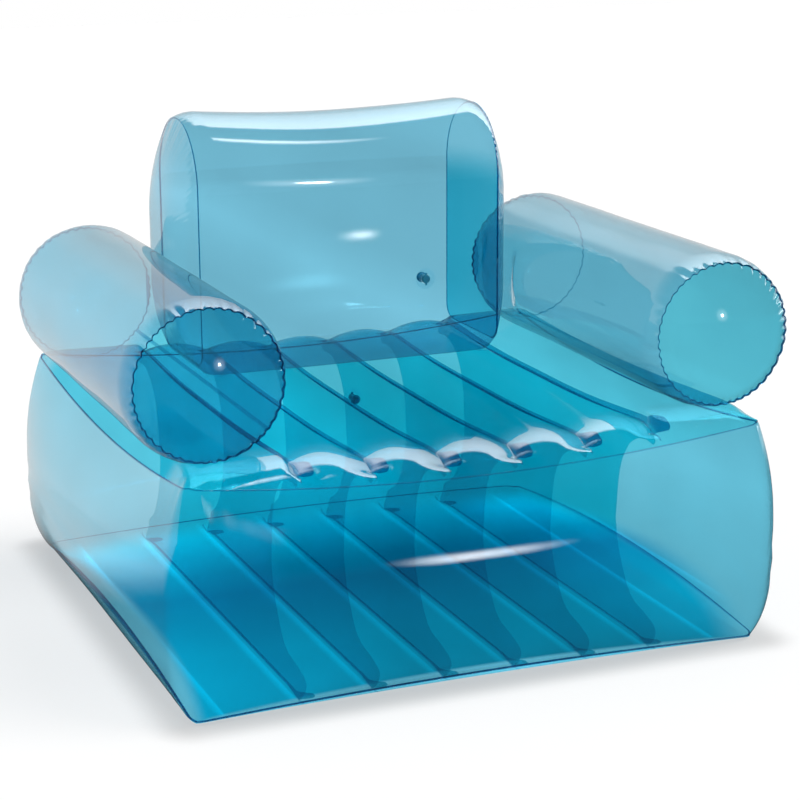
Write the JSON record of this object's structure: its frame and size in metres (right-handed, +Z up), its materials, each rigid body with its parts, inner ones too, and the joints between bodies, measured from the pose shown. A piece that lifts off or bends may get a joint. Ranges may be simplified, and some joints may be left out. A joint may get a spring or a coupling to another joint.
{
  "type": "inflatable pool chair",
  "caption": "Inflatable armchair of clear blue film: channelled seat cushion with inner webs, backrest cushion, two round arm bolsters and push-in filling valves.",
  "frame": {"origin": "on the floor under the middle of the seat cushion", "axes": "+Z up, -Y towards the front, where the sitter faces, +X to the right as seen from the front, which is also how the nodes are named left and right"},
  "size_m": [1.15, 1.086, 0.8546],
  "materials": {
    "blue_film": "clear tinted vinyl film, glossy",
    "valve_film": "clear tinted vinyl, glossy",
    "valve_vinyl": "tinted moulded vinyl, glossy"
  },
  "bodies": {
    "chair": {"seat_top_panel": "blue_film", "seat_side_band": "blue_film", "seat_bottom_panel": "blue_film", "seat_web_1": "blue_film", "seat_web_2": "blue_film", "seat_web_3": "blue_film", "seat_web_4": "blue_film", "seat_web_5": "blue_film", "seat_web_6": "blue_film", "backrest_wrap": "blue_film", "backrest_left_end": "blue_film", "backrest_right_end": "blue_film", "backrest_mount_patch": "blue_film", "left_arm_sleeve": "blue_film", "left_arm_front_cap": "blue_film", "left_arm_rear_cap": "blue_film", "left_arm_mount_patch": "blue_film", "right_arm_sleeve": "blue_film", "right_arm_front_cap": "blue_film", "right_arm_rear_cap": "blue_film", "right_arm_mount_patch": "blue_film", "seat_valve_flange": "valve_film", "back_valve_flange": "valve_film"},
    "back_valve_stem": {"back_valve_stem": "valve_vinyl"},
    "back_valve_plug": {"back_valve_plug": "valve_vinyl"},
    "back_valve_flap": {"back_valve_flap": "valve_film"},
    "seat_valve_stem": {"seat_valve_stem": "valve_vinyl"},
    "seat_valve_plug": {"seat_valve_plug": "valve_vinyl"},
    "seat_valve_flap": {"seat_valve_flap": "valve_film"}
  },
  "joints": [
    {"name": "back_valve_stem_slide", "type": "slide", "parent": "chair", "child": "back_valve_stem", "axis": [0, -1, 0], "range_m": [0, 0.014]},
    {"name": "back_valve_plug_hinge", "type": "hinge", "parent": "back_valve_stem", "child": "back_valve_plug", "pos_m": [0.1296, 0.08297, 0.5585], "axis": [-1, 0, 0], "range_deg": [0, 110]},
    {"name": "back_valve_flap_hinge", "type": "hinge", "parent": "back_valve_stem", "child": "back_valve_flap", "pos_m": [0.1296, 0.10557, 0.5573], "axis": [1, 0, 0], "range_deg": [0, 45]},
    {"name": "seat_valve_stem_slide", "type": "slide", "parent": "chair", "child": "seat_valve_stem", "axis": [0, 1, 0], "range_m": [0, 0.014]},
    {"name": "seat_valve_plug_hinge", "type": "hinge", "parent": "seat_valve_stem", "child": "seat_valve_plug", "pos_m": [0.15625, 0.541, 0.22632], "axis": [1, 0, 0], "range_deg": [0, 110]},
    {"name": "seat_valve_flap_hinge", "type": "hinge", "parent": "seat_valve_stem", "child": "seat_valve_flap", "pos_m": [0.15625, 0.5184, 0.22512], "axis": [-1, 0, 0], "range_deg": [0, 45]}
  ]
}
